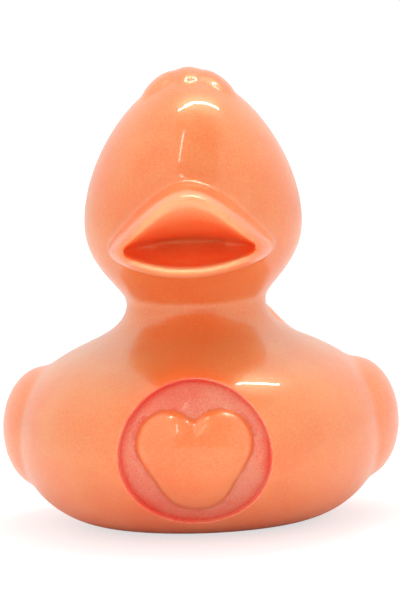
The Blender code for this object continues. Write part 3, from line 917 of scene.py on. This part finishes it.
class BATHDUCK_OT_shell(bpy.types.Operator):
    """Hollow the duck, drill its vent hole and put it in place of the part's solid."""

    bl_idname = "bathduck.shell"
    bl_label = "Shell"

    def execute(self, context):
        """The hollow is the part's own, so the wall is the part's."""
        shell = context.scene.bath_duck.shell
        duck = duck_piece()
        pearl = duck.data.materials[0]
        combine(duck, part_hollow(shell), 'DIFFERENCE', pearl)
        bore = bmesh.new()
        radius = shell.vent_diameter / 2
        bmesh.ops.create_cone(bore, cap_ends=True, segments=BORE_SIDES, radius1=radius,
                              radius2=radius, depth=4 * shell.wall)
        bmesh.ops.translate(bore, verts=bore.verts, vec=(0.0, shell.vent_setback, 0.0))
        combine(duck, finished_mesh("vent", bore), 'DIFFERENCE', pearl)
        duck.data.shade_smooth()
        duck.data.set_sharp_from_angle(angle=math.radians(SHARP_FROM))
        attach(duck, "root")
        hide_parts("duck")
        return {'FINISHED'}


class BATHDUCK_OT_studio(bpy.types.Operator):
    """Set up the floor, the white surroundings, the lamps and the camera."""

    bl_idname = "bathduck.studio"
    bl_label = "Studio"

    def execute(self, context):
        """Build each part of the studio."""
        studio = context.scene.bath_duck.studio
        context.scene.view_settings.view_transform = 'Standard'
        studio_floor(studio)
        studio_surround(context.scene, studio)
        studio_lamps(studio)
        studio_camera(context.scene, studio)
        return {'FINISHED'}


def studio_floor(studio):
    """A wide pale floor; the camera sees it white, with a faint shadow."""
    mesh = bmesh.new()
    bmesh.ops.create_grid(mesh, x_segments=1, y_segments=1, size=FLOOR_HALF)
    floor = new_object("floor", finished_mesh("floor", mesh))
    material = bpy.data.materials.new("white_floor")
    material.use_nodes = True
    nodes = Nodes(material.node_tree)
    seen = nodes.add("ShaderNodeLightPath", {}).outputs["Is Camera Ray"]
    dimmed = tuple(FLOOR_SEEN * part for part in studio.floor)
    matte = nodes.add("ShaderNodeBsdfDiffuse", {"Color": nodes.mix(seen, studio.floor, dimmed)})
    glow = nodes.add("ShaderNodeEmission", {"Strength": nodes.maths('MULTIPLY', seen, FLOOR_GLOW)})
    both = nodes.add("ShaderNodeAddShader", {0: matte.outputs["BSDF"], 1: glow.outputs["Emission"]})
    nodes.add("ShaderNodeOutputMaterial", {"Surface": both.outputs["Shader"]})
    floor.data.materials.append(material)


def studio_surround(scene, studio):
    """White surroundings, with a darker gap in front that only reflections show."""
    world = bpy.data.worlds.new("white_surround")
    world.use_nodes = True
    scene.world = world
    nodes = Nodes(world.node_tree)
    mirrored = nodes.add("ShaderNodeLightPath", {}).outputs["Is Glossy Ray"]
    place = nodes.add("ShaderNodeTexCoord", {}).outputs["Generated"]
    way = nodes.add("ShaderNodeSeparateXYZ", {"Vector": place})
    aside = nodes.maths('ABSOLUTE', nodes.maths('SUBTRACT', way.outputs["X"], studio.gap_middle))
    between = nodes.ramp(aside, studio.gap_half + GAP_SOFTNESS, studio.gap_half - GAP_SOFTNESS)
    above = nodes.ramp(way.outputs["Z"], *GAP_FOOT)
    before = nodes.ramp(way.outputs["Y"], *GAP_BACK)
    gap = nodes.maths('MULTIPLY', between, nodes.maths('MULTIPLY', above, before))
    shade = nodes.maths('MULTIPLY', studio.gap_shade, nodes.maths('MULTIPLY', gap, mirrored))
    strength = nodes.maths('MULTIPLY', studio.surround, nodes.maths('SUBTRACT', 1.0, shade))
    light = nodes.add("ShaderNodeBackground", {"Color": (1.0, 1.0, 1.0, 1.0),
                                               "Strength": strength})
    nodes.add("ShaderNodeOutputWorld", {"Surface": light.outputs["Background"]})


def area_lamp(name, place, target, width, depth, power):
    """A rectangular soft lamp that faces a point."""
    lamp = bpy.data.lights.new(name, 'AREA')
    lamp.shape = 'RECTANGLE'
    lamp.size, lamp.size_y = width, depth
    lamp.energy = power
    thing = bpy.data.objects.new(name, lamp)
    bpy.context.scene.collection.objects.link(thing)
    thing.location = place
    thing.rotation_euler = (Vector(target) - Vector(place)).to_track_quat('-Z', 'Y').to_euler()
    return thing


def studio_lamps(studio):
    """A strip overhead for the bright arcs, a thin one in front, and a fill without shine."""
    strip = area_lamp("strip_overhead", *OVERHEAD_LAMP, studio.strip_power)
    strip.rotation_euler.rotate_axis("Z", studio.strip_turn)
    area_lamp("strip_front", *FRONT_LAMP, studio.line_power)
    fill = area_lamp("fill_front", *FILL_LAMP, studio.fill_power)
    fill.visible_glossy = False


def studio_camera(scene, studio):
    """Camera in front of the duck, a little above it and slightly turned and leaning."""
    across = Vector((math.cos(studio.turn), math.sin(studio.turn), 0.0))
    ahead = Vector((-math.sin(studio.turn), math.cos(studio.turn), 0.0))
    rise, fall = math.sin(studio.elevation), math.cos(studio.elevation)
    look = ahead * fall - Vector((0.0, 0.0, rise))
    up = ahead * rise + Vector((0.0, 0.0, fall))
    aim = across * studio.aim_side + up * studio.aim_height
    right = across * math.cos(studio.lean) - up * math.sin(studio.lean)
    top = across * math.sin(studio.lean) + up * math.cos(studio.lean)
    camera = bpy.data.cameras.new("camera")
    camera.sensor_width = SENSOR
    camera.lens = camera.sensor_width * studio.distance / studio.view_height
    camera.clip_start = NEAREST_SEEN
    thing = bpy.data.objects.new("camera", camera)
    scene.collection.objects.link(thing)
    thing.matrix_world = Matrix.Translation(aim - look * studio.distance) @ Matrix(
        (right, top, -look)).transposed().to_4x4()
    scene.camera = thing


class BATHDUCK_PT_panel(bpy.types.Panel):
    """Lists the steps that build the duck and its studio."""

    bl_idname = "BATHDUCK_PT_panel"
    bl_label = "Bath Duck"
    bl_space_type = 'VIEW_3D'
    bl_region_type = 'UI'
    bl_category = "Bath Duck"

    def draw(self, context):
        """One button for each step."""
        for step in STEPS:
            self.layout.operator(step.bl_idname)


STEPS = (BATHDUCK_OT_form, BATHDUCK_OT_mouth_and_tuft, BATHDUCK_OT_medallion,
         BATHDUCK_OT_shell, BATHDUCK_OT_studio)
GROUPS = (BathDuckHull, BathDuckWings, BathDuckBill, BathDuckTuft, BathDuckMedallion,
          BathDuckShell, BathDuckVinyl, BathDuckStudio, BathDuckSettings)


def register():
    """Register the settings, the steps and the panel."""
    for kind in GROUPS + STEPS + (BATHDUCK_PT_panel,):
        bpy.utils.register_class(kind)
    bpy.types.Scene.bath_duck = PointerProperty(type=BathDuckSettings)


def unregister():
    """Undo what register did."""
    del bpy.types.Scene.bath_duck
    for kind in reversed(GROUPS + STEPS + (BATHDUCK_PT_panel,)):
        bpy.utils.unregister_class(kind)


def main():
    """Build the duck and its studio."""
    register()
    bpy.ops.bathduck.form()
    bpy.ops.bathduck.mouth_and_tuft()
    bpy.ops.bathduck.medallion()
    bpy.ops.bathduck.shell()
    bpy.ops.bathduck.studio()


if __name__ == "__main__":
    main()
